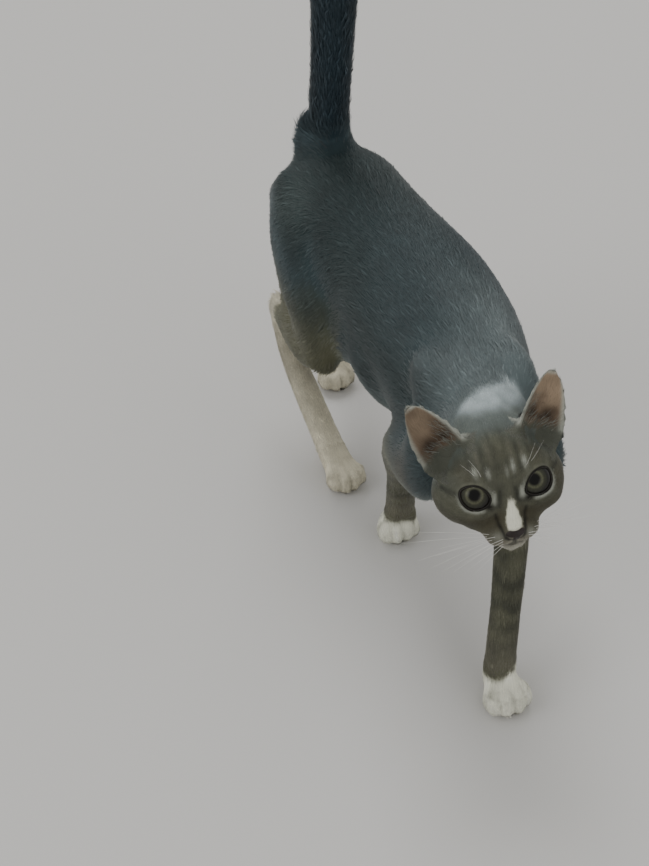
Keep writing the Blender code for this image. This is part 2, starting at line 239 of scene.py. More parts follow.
fleshNodes = ["head", "ear_right", "ear_left"] + bodyChain + tailChain
fleshNodes += [f"{part}_{side}" for side in sides for parts in legs.values() for part in parts]
nodeNames = np.array(fleshNodes)
partNames = np.array(["tail" if node in tailChain else node.removesuffix("_right").removesuffix("_left")
                      for node in fleshNodes])
perNode = dict(zip(coatKeys, np.array([coatParts[part] for part in partNames], float).T))

# one skin over all the flesh: copies of the parts grown until they meet, remeshed, smoothed
skinSettings = {"grow": 0.5, "voxel": 2.4, "smoothRounds": 5, "looseRounds": 18}
flesh = bmesh.new()
for name in fleshNodes + ["eye_right", "eye_left", "nose"]:
    flesh.from_mesh(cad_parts[name].data)
bmesh.ops.remove_doubles(flesh, verts=flesh.verts, dist=0.01 * mm)
bmesh.ops.recalc_face_normals(flesh, faces=flesh.faces)
flesh.normal_update()
for vert in flesh.verts:
    vert.co += vert.normal * skinSettings["grow"] * mm
fleshHolder = bpy.data.objects.new("flesh", toMesh("flesh", flesh))
remesh = fleshHolder.modifiers.new("oneSkin", "REMESH")
remesh.mode = "VOXEL"
remesh.voxel_size = skinSettings["voxel"] * mm
skinMesh = applied(fleshHolder)
print("skin remeshed:", len(skinMesh.polygons), "faces")

# which node each point of the skin belongs to
nearest = KDTree(sum(len(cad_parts[name].data.vertices) for name in fleshNodes))
for owner, name in enumerate(fleshNodes):
    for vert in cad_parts[name].data.vertices:
        nearest.insert(vert.co, owner)
nearest.balance()


def ownersOf(points):
    return np.array([nearest.find(point)[1] for point in points])


def setSkin(points):
    # puts the skin's points in place and gives their normals
    skinMesh.vertices.foreach_set("co", points.ravel())
    skinMesh.update()
    return read(skinMesh.vertex_normals, "vector")


def refineSkin(chosen):
    work = bmesh.new()
    work.from_mesh(skinMesh)
    work.verts.ensure_lookup_table()
    edges = [edge for edge in work.edges if chosen[edge.verts[0].index] and chosen[edge.verts[1].index]]
    bmesh.ops.subdivide_edges(work, edges=edges, cuts=1, use_grid_fill=True, smooth=0)
    work.to_mesh(skinMesh)
    work.free()
    return read(skinMesh.vertices, "co")


def relaxer(mesh):
    # gives a function that draws values towards the mean of their neighbours on the mesh
    pairs = read(mesh.edges, "vertices", 2, int)
    both = np.concatenate([pairs, pairs[:, ::-1]])
    both = both[np.argsort(both[:, 0], kind="stable")]
    starts = np.searchsorted(both[:, 0], np.arange(len(mesh.vertices)))
    counts = np.bincount(both[:, 0], minlength=len(mesh.vertices))

    def relaxed(values, rounds, share=0.5):
        column = (-1,) + (1,) * (values.ndim - 1)
        share = np.reshape(share, column) if np.ndim(share) else share
        for _ in range(rounds):
            mean = np.add.reduceat(values[both[:, 1]], starts, axis=0) / counts.reshape(column)
            values = values + (mean - values) * share
        return values

    return relaxed


skinPoints = read(skinMesh.vertices, "co")
relax = relaxer(skinMesh)
owners = ownersOf(skinPoints)
calm = np.where(partNames[owners] == "ear", 0.25, 0.5)
for _ in range(skinSettings["smoothRounds"]):
    # a step in and a slightly larger step out keeps the volume
    skinPoints = relax(skinPoints, 1, calm)
    skinPoints = relax(skinPoints, 1, -1.04 * calm)
setSkin(skinPoints)
# finer faces on the head, and finer again round the eyes, nose and mouth
skinPoints = refineSkin(np.isin(partNames[owners], ("head", "ear")))
aside, ahead, up = toHead(skinPoints).T
faceArea = (np.abs(aside) < 34) & (ahead > -4) & (up < 14) & (up > -40)
skinPoints = refineSkin(faceArea & (partNames[ownersOf(skinPoints)] == "head"))
relax = relaxer(skinMesh)
owners = ownersOf(skinPoints)
isHead = np.isin(partNames[owners], ("head", "ear"))
skinPoints = relax(skinPoints, 3, np.where(isHead, 0.5, 0.0))
print("skin refined:", len(skinMesh.polygons), "faces")

# the skin lies inside the flesh outline by the depth of the coat
skinDepth = relax(perNode["depth"][owners], 12) + skinSettings["grow"]
skinPoints = skinPoints - setSkin(skinPoints) * skinDepth[:, None] * mm
skinPoints = relax(skinPoints, 2, 0.4)
# loose hide over the trunk, shoulders and thighs, so that one runs into the next
loose = relax(np.isin(partNames[owners], trunkParts).astype(float), 6)
skinPoints = relax(skinPoints, skinSettings["looseRounds"], 0.6 * loose ** 2)
print("skin drawn in under the coat")

# eye openings: an almond on each eyeball, given by its half widths in radians round the opening's middle
eyeSettings = {"ball": 10.0, "lidGap": 0.9, "behind": 1.8, "middle": (0.19, 0.775, 0.60),
               "corners": (17.5, -5.7, 9.1), "innerHalf": 1.14, "outerHalf": 1.04, "upperHalf": 0.66,
               "lowerHalf": 0.77, "power": 1.7, "blend": 0.50}


def eyeAxes(side):
    flip = (sides[side], 1, 1)
    front = headWay(np.array(eyeSettings["middle"]) * flip)
    outer = headWay(np.array(eyeSettings["corners"]) * flip)
    outer = unit(outer - front * (outer @ front))
    upper = np.cross(front, outer)
    return front, outer, upper if upper @ headAxes[:, 2] > 0 else -upper


def openingEdge(around):
    # the opening's half size in a direction: 0 points to the outer corner, a quarter turn up
    wide = np.where(np.cos(around) > 0, eyeSettings["outerHalf"], eyeSettings["innerHalf"])
    tall = np.where(np.sin(around) > 0, eyeSettings["upperHalf"], eyeSettings["lowerHalf"])
    power = eyeSettings["power"]
    return (np.abs(np.cos(around) / wide) ** power + np.abs(np.sin(around) / tall) ** power) ** (-1 / power)


def eyeField(points, side):
    # distance from the ball's middle (mm), how far outside the opening (radians), and the direction round it
    front, outer, upper = eyeAxes(side)
    away = (points - eyeCentre[side]) / mm
    far = np.linalg.norm(away, axis=1)
    away = away / far[:, None]
    off = np.arccos(np.clip(away @ front, -1, 1))
    around = np.arctan2(away @ upper, away @ outer)
    return far, off - openingEdge(around), around


# flesh is brought up round each eye so that the ball sits in the face, not on it: how fast the flesh
# falls away from the opening's edge towards the brow, the temple, the cheek and the bridge
orbitSettings = {"brow": 0.05, "temple": 0.62, "cheek": 0.42, "bridge": 0.15, "reach": 15.0}
lidFar = eyeSettings["ball"] + eyeSettings["lidGap"]
for side in sides:
    front, outer, upper = eyeAxes(side)
    away = (skinPoints - eyeCentre[side]) / mm
    height = away @ front
    sideways = away - height[:, None] * front
    reachOut = np.linalg.norm(sideways, axis=1)
    across, over = sideways @ outer / reachOut, sideways @ upper / reachOut
    edge = openingEdge(np.arctan2(over, across))
    slope = np.where(over > 0, orbitSettings["brow"], orbitSettings["cheek"]) * over ** 2
    slope = slope + np.where(across > 0, orbitSettings["temple"], orbitSettings["bridge"]) * across ** 2
    beyond = reachOut - lidFar * np.sin(edge)
    wanted = lidFar * np.cos(edge) - 0.5 - slope * beyond
    lift = np.maximum(wanted - height, 0) * ease(orbitSettings["reach"], 3, beyond) * isHead * (height > -14)
    skinPoints = skinPoints + front * lift[:, None] * mm
for side in sides:
    far, outside, around = eyeField(skinPoints, side)
    near = (far < 19) & (outside < 1.0) & isHead
    settled = (np.maximum(far, lidFar) - lidFar) * ease(0.02, eyeSettings["blend"], outside)
    wanted = np.where(outside < 0, eyeSettings["ball"] - eyeSettings["behind"], lidFar + settled)
    away = (skinPoints - eyeCentre[side]) / far[:, None]
    skinPoints = np.where(near[:, None], eyeCentre[side] + away * wanted[:, None], skinPoints)
print("eye openings shaped")

# a seat for the nose leather: skin behind its bare front, and just over its edge elsewhere
noseSettings = {"place": (0.3, 15.8, -21.9), "radii": (6.9, 5.6, 5.0), "shade": "#221a17"}
away = (toHead(skinPoints) - noseSettings["place"]) / noseSettings["radii"]
far = np.linalg.norm(away, axis=1)
bare = ease(0.30, 0.50, away[:, 1] / far) * ease(0.85, 0.65, away[:, 2] / far)
wanted = bare * 0.86 + (1 - bare) * np.maximum(far, 1.07)
moved = np.where((far < 1.5) & isHead & (away[:, 1] > -0.4), wanted / far, 1.0) - 1
skinPoints = skinPoints + (away * moved[:, None] * noseSettings["radii"]) @ headAxes.T * mm
print("nose seat shaped")

# fine modelling of the face: each groove or swelling follows a line on the head
faceLines = {
    "lipParting": {"line": [(0, 21, -25.5), (0, 19, -30.5)], "reach": 1.3, "push": -0.6},
    "mouthLine": {"line": [(0, 19.5, -31), (5, 18, -32), (10, 14, -31.5), (14, 8, -29.5)],
                  "reach": 1.5, "push": -1.5},
    "lipPad": {"line": [(7, 18.5, -26.5), (12, 13.5, -27.5)], "reach": 7.0, "push": 2.1},
    "noseSide": {"line": [(7.5, 14, -17.5), (9.5, 10, -12)], "reach": 2.6, "push": -0.5},
    "underEye": {"line": [(10, 11, -8), (17, 10, -11), (24, 6, -8)], "reach": 3.0, "push": -0.4},
}
cheekSettings = {"place": (27, 0, -14), "radii": (9, 13, 9), "left": 3.4, "right": 1.0}
# depth into the head counts for less, so that a line need not lie exactly on the skin
frontWeight = np.array((1, 0.1, 1))
for spec in faceLines.values():
    for flip in (1, -1):
        line = np.array(spec["line"]) * (flip, 1, 1) * frontWeight
        local = toHead(skinPoints)
        best = np.min([farFrom(local * frontWeight, *ends) for ends in zip(line[:-1], line[1:])], axis=0)
        push = spec["push"] * (1 - ease(0, spec["reach"], best)) * (local[:, 1] > 0)
        skinPoints = skinPoints + setSkin(skinPoints) * push[:, None] * mm
# fuller cheeks below and outside the eyes
for side in ("left", "right"):
    cheek = np.array(cheekSettings["place"]) * (sides[side], 1, 1)
    fullness = cheekSettings[side] * softSpot(toHead(skinPoints), cheek, cheekSettings["radii"])
    skinPoints = skinPoints + setSkin(skinPoints) * fullness[:, None] * mm
skinNormals = setSkin(skinPoints)
print("face modelled")

# toes: three gaps down the front of each paw, its outer toes filled out and the longest drawn back
toeSettings = {"gaps": (-0.25, 0.0, 0.25), "reach": 1.1, "deep": 0.75, "plump": 0.35, "fill": 2.6,
               "draw": 1.2}
toeNames = [f"{kind}_paw_{side}" for kind in ("fore", "hind") for side in sides]


def toeGaps(points):
    # 1 in the bottom of a gap between two toes, 0 away from it
    gap = np.zeros(len(points))
    for name in toeNames:
        low, high = corners(name)
        wide, long, tall = high - low
        near = np.all((points > low - 2 * mm) & (points < high + 2 * mm), axis=1)
        front = ease(0.42, 0.12, (points[:, 1] - low[1]) / long)
        for place in toeSettings["gaps"]:
            # the outer toes splay
            line = low[0] + wide * (0.5 + place) + place * 0.25 * (low[1] + 12 * mm - points[:, 1])
            here = hump(points[:, 0] - line, toeSettings["reach"] * mm) * front * near
            gap = np.maximum(gap, here * ease(tall, 0.6 * tall, points[:, 2] - low[2]))
    return gap


isPaw = np.isin(nodeNames[owners], toeNames)
skinPoints = skinPoints - skinNormals * (toeSettings["deep"] * toeGaps(skinPoints) * isPaw)[:, None] * mm
plump = toeSettings["plump"] * (skinPoints[:, 2] > 4 * mm)
skinPoints = skinPoints + skinNormals * (plump * isPaw)[:, None] * mm
for name in toeNames:
    low, high = corners(name)
    across = skinPoints[:, 0] - (low[0] + high[0]) / 2
    aside = np.abs(across) / (high[0] - low[0])
    push = toeSettings["fill"] * ease(0.16, 0.34, aside) - toeSettings["draw"] * ease(0.14, 0.0, aside)
    push *= ease(15 * mm, 4 * mm, skinPoints[:, 1] - low[1]) * (nodeNames[owners] == name) * mm
    skinPoints = skinPoints + np.stack([0.55 * np.sign(across) * push, -push, 0 * push], axis=1)
skinNormals = setSkin(skinPoints)
print("toes parted")

# the way the hair lies: each part's own way, away from the nose on the head, smoothed over the skin
nextParts = {"neck": "chest", "shoulder": "forearm", "forearm": "fore_paw", "thigh": "shank",
             "hind_foot": "hind_paw"}
extraLies = {"shoulder": (0, 0.55, 0), "thigh": (0, 0.75, -0.2)}
partLies = {"chest": (0, 1, -0.15), "midriff": (0, 1, -0.2), "rump": (0, 1, -0.35), "shank": (0, 0.9, -0.45),
            "fore_paw": (0, -0.9, -0.35), "hind_paw": (0, -0.95, -0.3), "head": (0, 1, 0), "ear": (0, 0.6, 1)}
noseTip = fromHead((0, 24, -17))
earCorners = {"innerRoot": (14, -22, 25), "outerRoot": (43, -20, 9), "tip": (44, -41.5, 44)}


def lieOf(node, part):
    if part in nextParts:
        way = unit(middle(nextParts[part] + node.removeprefix(part)) - middle(node))
        return unit(way + extraLies.get(part, (0, 0, 0)))
    if part == "tail":
        place = min(tailChain.index(node), 2)
        return unit(middle(tailChain[place + 1]) - middle(tailChain[place]))
    return unit(np.array(partLies[part], float))


lies = np.array([lieOf(node, part) for node, part in zip(fleshNodes, partNames)])[owners]
lies = np.where((partNames[owners] == "head")[:, None], unit(skinPoints - noseTip), lies)
for side, flip in sides.items():
    inner, outer, tip = (fromHead(np.array(place) * (flip, 1, 1)) for place in earCorners.values())
    lies = np.where((nodeNames[owners] == "ear_" + side)[:, None], unit(tip - (inner + outer) / 2), lies)
lies = flat(lies, skinNormals)
for _ in range(8):
    lies = flat(relax(lies, 4), skinNormals)
print("lie of the coat set")

# markings, the same on skin and coat
coatTints = {
    "slate": "#364346", "paleSlate": "#737f7c", "darkSlate": "#243233", "night": "#20313a", "warm": "#605f49",
    "legGrey": "#60604f", "faceGrey": "#55564b", "faceBrown": "#423e30", "crownGrey": "#525b58",
    "silver": "#aaada3", "ice": "#b2bec1", "white": "#f1f1df", "cream": "#cfcdc0", "liner": "#14120d",
    "lipGrey": "#7d796b", "steel": "#778283", "earTan": "#8f7d69", "earBrown": "#57473a",
    "earPitShade": "#34291f", "darkOlive": "#2d2f28", "bluish": "#43545a",
}
tint = {name: linear(value) for name, value in coatTints.items()}
partTints = {"head": "faceGrey", "ear": "crownGrey", "neck": "slate", "chest": "slate", "midriff": "slate",
             "rump": "darkSlate", "shoulder": "slate", "forearm": "legGrey", "fore_paw": "legGrey",
             "thigh": "darkSlate", "shank": "darkSlate", "hind_foot": "white", "hind_paw": "white",
             "tail": "night"}
baseTint = np.array([tint[partTints[part]] for part in partNames])[owners]
baseTint = relax(baseTint, 160, np.where(np.isin(partNames[owners], bodyChain), 0.5, 0.3))
baseWhite = relax(np.isin(partNames[owners], ("hind_foot", "hind_paw")).astype(float), 2)
mittens = {"right": {"edge": 19.0, "slope": 0.0, "soft": 3.5},
           "left": {"edge": 20.5, "slope": 0.32, "soft": 1.4}}
hockTop = {side: [middle("hind_foot_" + side)[0], *corners("hind_foot_" + side)[1, 1:]] for side in sides}


def softBar(local, start, end, reach):
    weight = np.array((1, 0.1 if min(start[1], end[1]) > 8 else 0.35, 1))
    return hump(farFrom(local * weight, start * weight, end * weight), reach)


def earPlane(points, flip):
    # across the ear from its inner edge (-1) to its outer (1), up it from root (0) to tip (1), and its facing
    inner, outer, tip = (np.array(place) * (flip, 1, 1) for place in earCorners.values())
    root, half = (inner + outer) / 2, (outer - inner) / 2
    facing = unit(np.cross(half, tip - root))
    facing = facing if facing[1] > 0 else -facing
    across, tall = ((toHead(points) - root) @ np.linalg.inv(np.stack([half, tip - root, facing])))[:, :2].T
    up = np.clip(tall, 0, 0.98)
    wide = np.maximum((1 - up ** 2.6) ** 0.5 * (1 - 0.25 * up), 0.13)
    return across / wide, tall, headWay(facing)


# broad clouds over the body: tint, strength, centre, radii (world mm). The steel cloud high on the left
# shoulder is a painted highlight; the dark slate cloud on the right flank, the night cloud on the left of the
# back and the face brown cloud on the right foreleg are painted shade
toneAndLightSpots = [
    ("steel", 0.55, (36, -50, 226), (24, 36, 22)), ("darkSlate", 0.9, (-31, 52, 207), (17, 40, 22)),
    ("paleSlate", 0.15, (-43, 122, 210), (20, 20, 20)), ("night", 0.6, (52, 28, 212), (16, 34, 20)),
    ("faceBrown", 0.7, (-50, -88, 152), (15, 16, 18)), ("legGrey", 0.6, (30, -110, 142), (18, 16, 18)),
]
# paler and darker marks on both sides of the face: tint, strength, start, end, reach (head mm)
faceMarks = [
    ("darkOlive", 0.85, (10.5, 0, 12.5), (10.5, -14, 27), 1.7),
    ("darkOlive", 0.8, (2.6, -3, 17), (4.5, -26, 33), 1.5),
    ("darkOlive", 0.75, (18.5, -6, 15), (17, -22, 27), 1.9),
    ("darkOlive", 0.6, (6.8, -12, 26), (8, -26, 32), 1.3),
    ("lipGrey", 0.45, (13.5, -5, 18), (13.5, -16, 26), 1.3),
    ("lipGrey", 0.4, (6.5, -3, 19), (6.8, -12, 27), 1.2),
    ("faceBrown", 0.6, (22, -6, 13), (27, -14, 16), 4.0),
    ("faceBrown", 0.7, (13, 9, -13), (24, 4, -13), 4.5),
    ("faceBrown", 0.6, (6.5, 12, -9), (8.5, 14, -15), 2.4),
    ("darkOlive", 0.9, (28, -1, 3.5), (37, -11, 3), 1.5),
    ("darkOlive", 0.7, (26, 2, -9), (36, -10, -12), 1.8),
    ("darkOlive", 0.6, (25, 2, -16), (33, -8, -19), 1.8),
    ("darkOlive", 0.8, (4.6, 4, 4), (6.0, 9.5, -4), 1.6),
    ("silver", 0.6, (7.9, 8.5, 3), (8.8, 9.5, -3), 1.0),
    ("liner", 0.75, (9.4, 8.5, -9), (8.2, 14.2, -16.5), 1.2),
    ("liner", 1.0, (7.6, 15.5, -17.4), (6.2, 18.4, -22.5), 1.1),
    ("liner", 1.0, (5.8, 18.4, -23), (0.8, 19.5, -27.5), 1.1),
    ("liner", 0.95, (0, 20, -26), (0, 19.5, -31), 1.0),
    ("liner", 0.9, (0, 19.5, -31), (5, 18, -32), 1.0),
    ("liner", 0.85, (5, 18, -32), (10, 14, -31.5), 0.95),
    ("liner", 0.7, (10, 14, -31.5), (14, 8.2, -29.5), 0.9),
    ("faceBrown", 0.6, (13, 12, -19), (20, 8.2, -16), 4.5),
]
# pale spots that differ from one side of the face to the other: strength, centre, radii (head mm)
paleSpots = [
    (1.0, (13.2, -2.3, 14.0), (1.6, 3.0, 3.2)), (1.0, (5.8, 0.2, 15.6), (1.3, 3.0, 3.4)),
    (0.95, (-16.3, -3.0, 14.2), (1.4, 3.0, 2.2)), (0.8, (-9.3, 1.0, 14.5), (1.3, 3.0, 2.4)),
    (0.55, (1.6, 2.0, 14.0), (1.1, 3.0, 2.8)), (0.45, (9.5, 18.0, -23.5), (2.6, 4.0, 2.8)),
    (0.35, (-10.5, 17.0, -22.0), (3.0, 5.0, 2.6)),
]


def markings(points, normals, base, white, owner):
    colour = base.copy()
    names, parts = nodeNames[owner], partNames[owner]
    x, y, z = points.T / mm
    local = toHead(points)
    side, ahead, up = local.T
    onHead, onEar = parts == "head", parts == "ear"

    def lay(name, share):
        nonlocal colour
        colour = blendTo(colour, tint[name], share)

    def cloud(size, shift):
        return cloudNoise(points, size, shift)

    def on(*kinds):
        return np.isin(parts, kinds)

    # slate body: paler over the shoulders, partly with a painted highlight, painted shade on the side-facing
    # flank, browner low on the legs
    trunk = on(*trunkParts)
    shoulderHeight = 195 - 25 * (names == "shoulder_right")
    # paler over the tops of the shoulders: partly paler hair, partly a painted highlight
    lay("steel", 0.85 * ease(-40, -85, y) * ease(0, 30, z - shoulderHeight) * trunk)
    lay("slate", 0.6 * ease(120, 30, y) * ease(150, 200, z) * trunk)
    # painted shade on the side-facing trunk, darkest along the lower flank; the bluish tone further back uses
    # the same facing mask
    sideFacing = ease(0.55, 0.15, normals[:, 2]) * ease(-0.6, 0.0, normals[:, 2]) * trunk
    lay("darkSlate", 0.7 * sideFacing * ease(-100, -60, y) * ease(60, 30, y))
    lay("bluish", 0.6 * sideFacing * ease(50, 90, y) * ease(140, 175, z))
    # lay the clouds, a painted highlight and painted shade among them
    for name, share, centre, radii in toneAndLightSpots:
        lay(name, share * softSpot(points / mm, centre, radii) * trunk)
    lay("warm", 0.8 * ease(178, 112, z + 14 * (cloud(12, 33) - 0.5)) * on("thigh", "shank"))
    lay("paleSlate", 0.55 * ease(0.0, -0.8, normals[:, 2]) * trunk)
    # faint broken tabby bars, soft clouding, and mottled rings on the forelegs
    bands = 0.5 + 0.5 * np.sin((y + 14 * cloud(34, 3)) * 2 * np.pi / 26)
    rings = 0.5 + 0.5 * np.sin((z + 9 * cloud(13, 9)) * 2 * np.pi / 13)
    colour *= (1 - 0.06 * bands * ~(onHead | onEar | on("forearm")))[:, None]
    lay("darkOlive", 0.8 * np.clip(0.55 * rings + 0.9 * cloud(9, 12) - 0.35, 0, 1) * on("forearm"))
    colour *= ((0.90 + 0.20 * cloud(11, 1)) * (0.93 + 0.14 * cloud(4.5, 8)))[:, None]
    lay("lipGrey", 0.40 * ease(60, 24, z) * on("forearm"))
    lay("legGrey", 0.8 * ease(158, 125, z) * on("shoulder"))
    # head: crown cooler than the face, muzzle paler, back of the neck like the body
    lay("crownGrey", 0.8 * ease(-8, -24, ahead) * onHead)
    lay("faceBrown", 0.55 * ease(-4, -14, up) * onHead)
    lay("warm", 0.35 * cloud(9, 2) * onHead)
    fine = (0.72 + 0.32 * cloud(2.6, 21) + 0.24 * cloud(5.5, 41))[:, None]
    colour = np.where(onHead[:, None], colour * fine, colour)
    lay("faceBrown", 0.6 * ease(24, 34, side) * ease(12, 4, up) * onHead)
    lay("lipGrey", np.clip(1.4 * softSpot(local, (0, 18, -32), (16, 13, 8.5)) * onHead, 0, 0.85))
    lay("cream", np.clip(1.2 * softSpot(local, (0, 17, -37), (9, 9, 4)) * onHead, 0, 0.3))
    lay("slate", 0.7 * ease(-36, -52, ahead + 6 * (cloud(6, 35) - 0.5)) * onHead)
    # pale silver hair behind the crown with a painted highlight on it, laid only where the skin faces
    # upwards, its front edge melting into blue grey
    lay("steel", 0.32 * ease(-14, -34, ahead) * ease(6, 16, up) * onHead)
    front = -39 - 0.02 * (side - 4) ** 2 + 5 * (cloud(7, 5) - 0.5)
    back = -54 - 0.45 * side + 6 * (cloud(7, 15) - 0.5)
    patch = ease(front + 9, front - 5, ahead) * ease(back - 6, back + 5, ahead)
    patch *= ease(-18, -8, side) * ease(34, 26, side) * (up > 5) * ease(0.0, 0.4, normals[:, 2])
    lay("ice", patch * (0.60 + 0.45 * cloud(5, 19)).clip(0, 0.95))
    # the bars over the crown are broken by ticked hair
    ticked = (1 - ease(2, 14, up) * (0.10 + 0.75 * cloud(4, 27))) * onHead
    for name, share, start, end, reach in faceMarks:
        for flip in ((1, 1, 1), (-1, 1, 1)):
            lay(name, share * ticked * softBar(local, np.array(start) * flip, np.array(end) * flip, reach))
    for share, centre, radii in paleSpots:
        lay("silver", share * softSpot(local, centre, radii) * onHead)
    # white blaze down the bridge of the nose, and a pale bib under the chin
    halfWide = 1.6 + 3.0 * ease(-1.5, -15.5, up) + 0.9 * (cloud(2.2, 31) - 0.5)
    blaze = ease(halfWide + 0.7, halfWide - 0.7, np.abs(side - 0.5)) * ease(-0.5, -4.5, up)
    lay("white", 0.96 * blaze * (ahead > 4) * ease(-18.6, -17.0, up) * onHead)
    lay("cream", np.clip(1.2 * softSpot(local, (0, 2, -47), (24, 20, 13)) * ~onEar, 0, 0.8))
    # pale rings round the eyes: brightest under the eye and up its inner side, broken at the tear duct
    for word in sides:
        far, outside, around = eyeField(points, word)
        close = (far < 17) * onHead
        fromDuct = np.arctan2(np.sin(around + 2.8), np.cos(around + 2.8))
        strong = np.clip(0.32 + 0.52 * np.sin(-around) - 0.30 * np.cos(around), 0.05, 0.74)
        strong *= (0.75 + 0.4 * cloud(2.4, 43)) * (0.8 if word == "right" else 1.0)
        strong *= 1 - 0.95 * hump(fromDuct - 0.05, 0.26)
        strong *= ease(0.08, 0.13, outside) * ease(0.33, 0.20, outside)
        lay("silver", np.clip(1.2 * strong * close, 0, 1))
        duct = hump(fromDuct + 0.05, 0.22) * ease(0.40, 0.2, outside)
        lay("liner", np.clip(ease(0.15, 0.07, outside) + duct, 0, 1) * close)
    # ears: the face's grey at the root, thin tan skin inside, brown low down, painted shade in the two
    # hollows, silver hair along both rims
    for word, flip in sides.items():
        across, tall, facing = earPlane(points, flip)
        mine = names == "ear_" + word
        facingUs = ease(-0.05, 0.25, normals @ facing) * mine
        lay("faceGrey", 0.8 * facingUs * ease(0.28, 0.10, tall))
        inside = facingUs * ease(0.98, 0.80, np.abs(across))
        inside *= ease(0.04, 0.26, tall + 0.16 * (cloud(2.6, 7) - 0.5))
        tan = (0.70 + 0.60 * cloud(6, 11))[:, None] * tint["earTan"] * (1.15 if flip > 0 else 0.78)
        colour = blendTo(colour, tan, inside)
        low = ease(0.66, 0.20, tall + 0.10 * across + 0.30 * (cloud(4, 13) - 0.5))
        lay("earBrown", 0.85 * inside * low)
        # painted shade in the two hollows inside the ear
        earPlace = np.c_[across, tall]
        pitShade = softSpot(earPlace, (0.32, 0.24), (0.34, 0.13)) + softSpot(earPlace, (-0.35, 0.27), (0.22, 0.10))
        lay("earPitShade", 0.9 * inside * np.clip(pitShade, 0, 1))
        rim = np.clip(ease(0.68, 0.86, np.abs(across)) + ease(0.90, 0.97, tall), 0, 1)
        rim *= np.where(across < 0, 0.95, 0.75 if flip > 0 else 0.55) * ease(-0.02, 0.12, tall)
        lay("silver", rim * mine)
    # white mittens, white hind feet up to the hocks; the hind whites are painted darker and warmer as shade,
    # darker still higher up the leg
    lowTop = np.zeros(len(points))
    for word, spec in mittens.items():
        edge = spec["edge"] + spec["slope"] * (x - middle("fore_paw_" + word)[0] / mm)
        edge += 2.0 * (cloud(5, 4) - 0.5)
        foreleg = np.isin(names, ["forearm_" + word, "fore_paw_" + word])
        lowTop = np.where(foreleg, ease(spec["soft"], -spec["soft"], z - edge), lowTop)
        fromHock = np.linalg.norm(points - hockTop[word], axis=1) / mm + 5 * (cloud(6, 14) - 0.5)
        lowTop = np.where(names == "shank_" + word, ease(31, 23, fromHock), lowTop)
    allWhite = np.clip(lowTop + ease(0.35, 0.65, white + 0.25 * (cloud(6, 6) - 0.5)), 0, 1)
    hind = on("hind_foot", "hind_paw", "shank")
    # painted shade on the hind whites: some at the paws, more towards the hocks
    hindShade = (0.27 + 0.20 * ease(24, 60, z)) * hind
    whiteHere = tint["white"] * (0.90 + 0.2 * cloud(7, 17) - hindShade)[:, None]
    colour = blendTo(colour, whiteHere * np.where(hind[:, None], (1.05, 0.98, 0.90), 1.0), allWhite)
    # painted shade in the gaps between the toes
    colour *= (1 - 0.22 * toeGaps(points) * np.isin(names, toeNames))[:, None]
    return np.clip(colour, 0.003, 0.9)


skinColours = markings(skinPoints, skinNormals, baseTint, baseWhite, owners)
print("markings laid on the skin")


def furPattern(tree):
    # the tint painted on each hair, with painted shade at the root and lighter at the tip, and fine streaks
    colour = addNode(tree, "Attribute", {"attribute_name": "coatTint"})
    where = addNode(tree, "TexCoord")
    # strands read as streaks a few tenths of a millimetre wide; drawn at 1.2 mm so that they show
    strand = addNode(tree, "TexNoise", {"Scale": 1 / (1.2 * mm), "Detail": 2.0, "Roughness": 0.6},
                     {"Vector": (where, "Object")})
    # painted shade at each hair's root, rising to a little lighter than its tint at the tip
    along = addNode(tree, "MapRange", {"To Min": 0.86, "To Max": 1.12}, {"Value": (colour, "Alpha")})
    shaded = addNode(tree, "VectorMath", {"operation": "SCALE"},
                     {"Vector": (colour, "Color"), "Scale": (along, "Result")})
    return {"Base Color": (mottled(tree, (shaded, "Vector"), strand, (0.25, 0.75), (0.82, 1.18)), "Vector")}


def undercoatPattern(tree):
    colour = addNode(tree, "Attribute", {"attribute_name": "coatTint"})
    lieMap = addNode(tree, "UVMap", {"uv_map": "lie"})
    # the lie map is in metres; down hairs, really a few hundredths of a millimetre wide, are drawn 0.7 mm
    # wide and 6 mm long so that they show
    stretch = addNode(tree, "Mapping", {"Scale": (1.0, 0.7 / 6, 1.0)}, {"Vector": (lieMap, "UV")})
    strand = addNode(tree, "TexNoise", {"Scale": 1 / (0.7 * mm), "Detail": 3.0, "Roughness": 0.6},
                     {"Vector": (stretch, "Vector")})
    shaded = mottled(tree, (colour, "Color"), strand, (0.25, 0.75), (0.75, 1.05))
    bump = addNode(tree, "Bump", {"Strength": 0.6, "Distance": 0.4 * mm}, {"Height": (strand, "Fac")})
    return {"Base Color": (shaded, "Vector"), "Normal": (bump, "Normal")}


# domestic short cat hair: soft, slightly waxy fibres, so a broad dull sheen and no sharp highlight
furSettings = {"Roughness": 0.6, "IOR": 1.5, "Specular IOR Level": 0.3, "Sheen Weight": 0.15,
               "Sheen Roughness": 0.5}
furCoat = makeMaterial("catFurTufts", furSettings, furPattern)
# close undercoat over skin: matt, with short flat hairs that show as fine streaks along the lie
undercoatSettings = {"Roughness": 0.7, "IOR": 1.45, "Specular IOR Level": 0.25}
undercoat = makeMaterial("catUndercoat", undercoatSettings, undercoatPattern)

# unwrap: each region is rolled flat round its own axis
regions = {"Head": ["head"], "EarRight": ["ear_right"], "EarLeft": ["ear_left"]}
regions |= {node.title(): [node] for node in bodyChain}
regions["Tail"] = tailChain
regions |= {leg + side.title(): [f"{part}_{side}" for part in parts]
            for leg, parts in legs.items() for side in sides}
regionOfNode = np.array([[node in nodes for nodes in regions.values()].index(True) for node in fleshNodes])


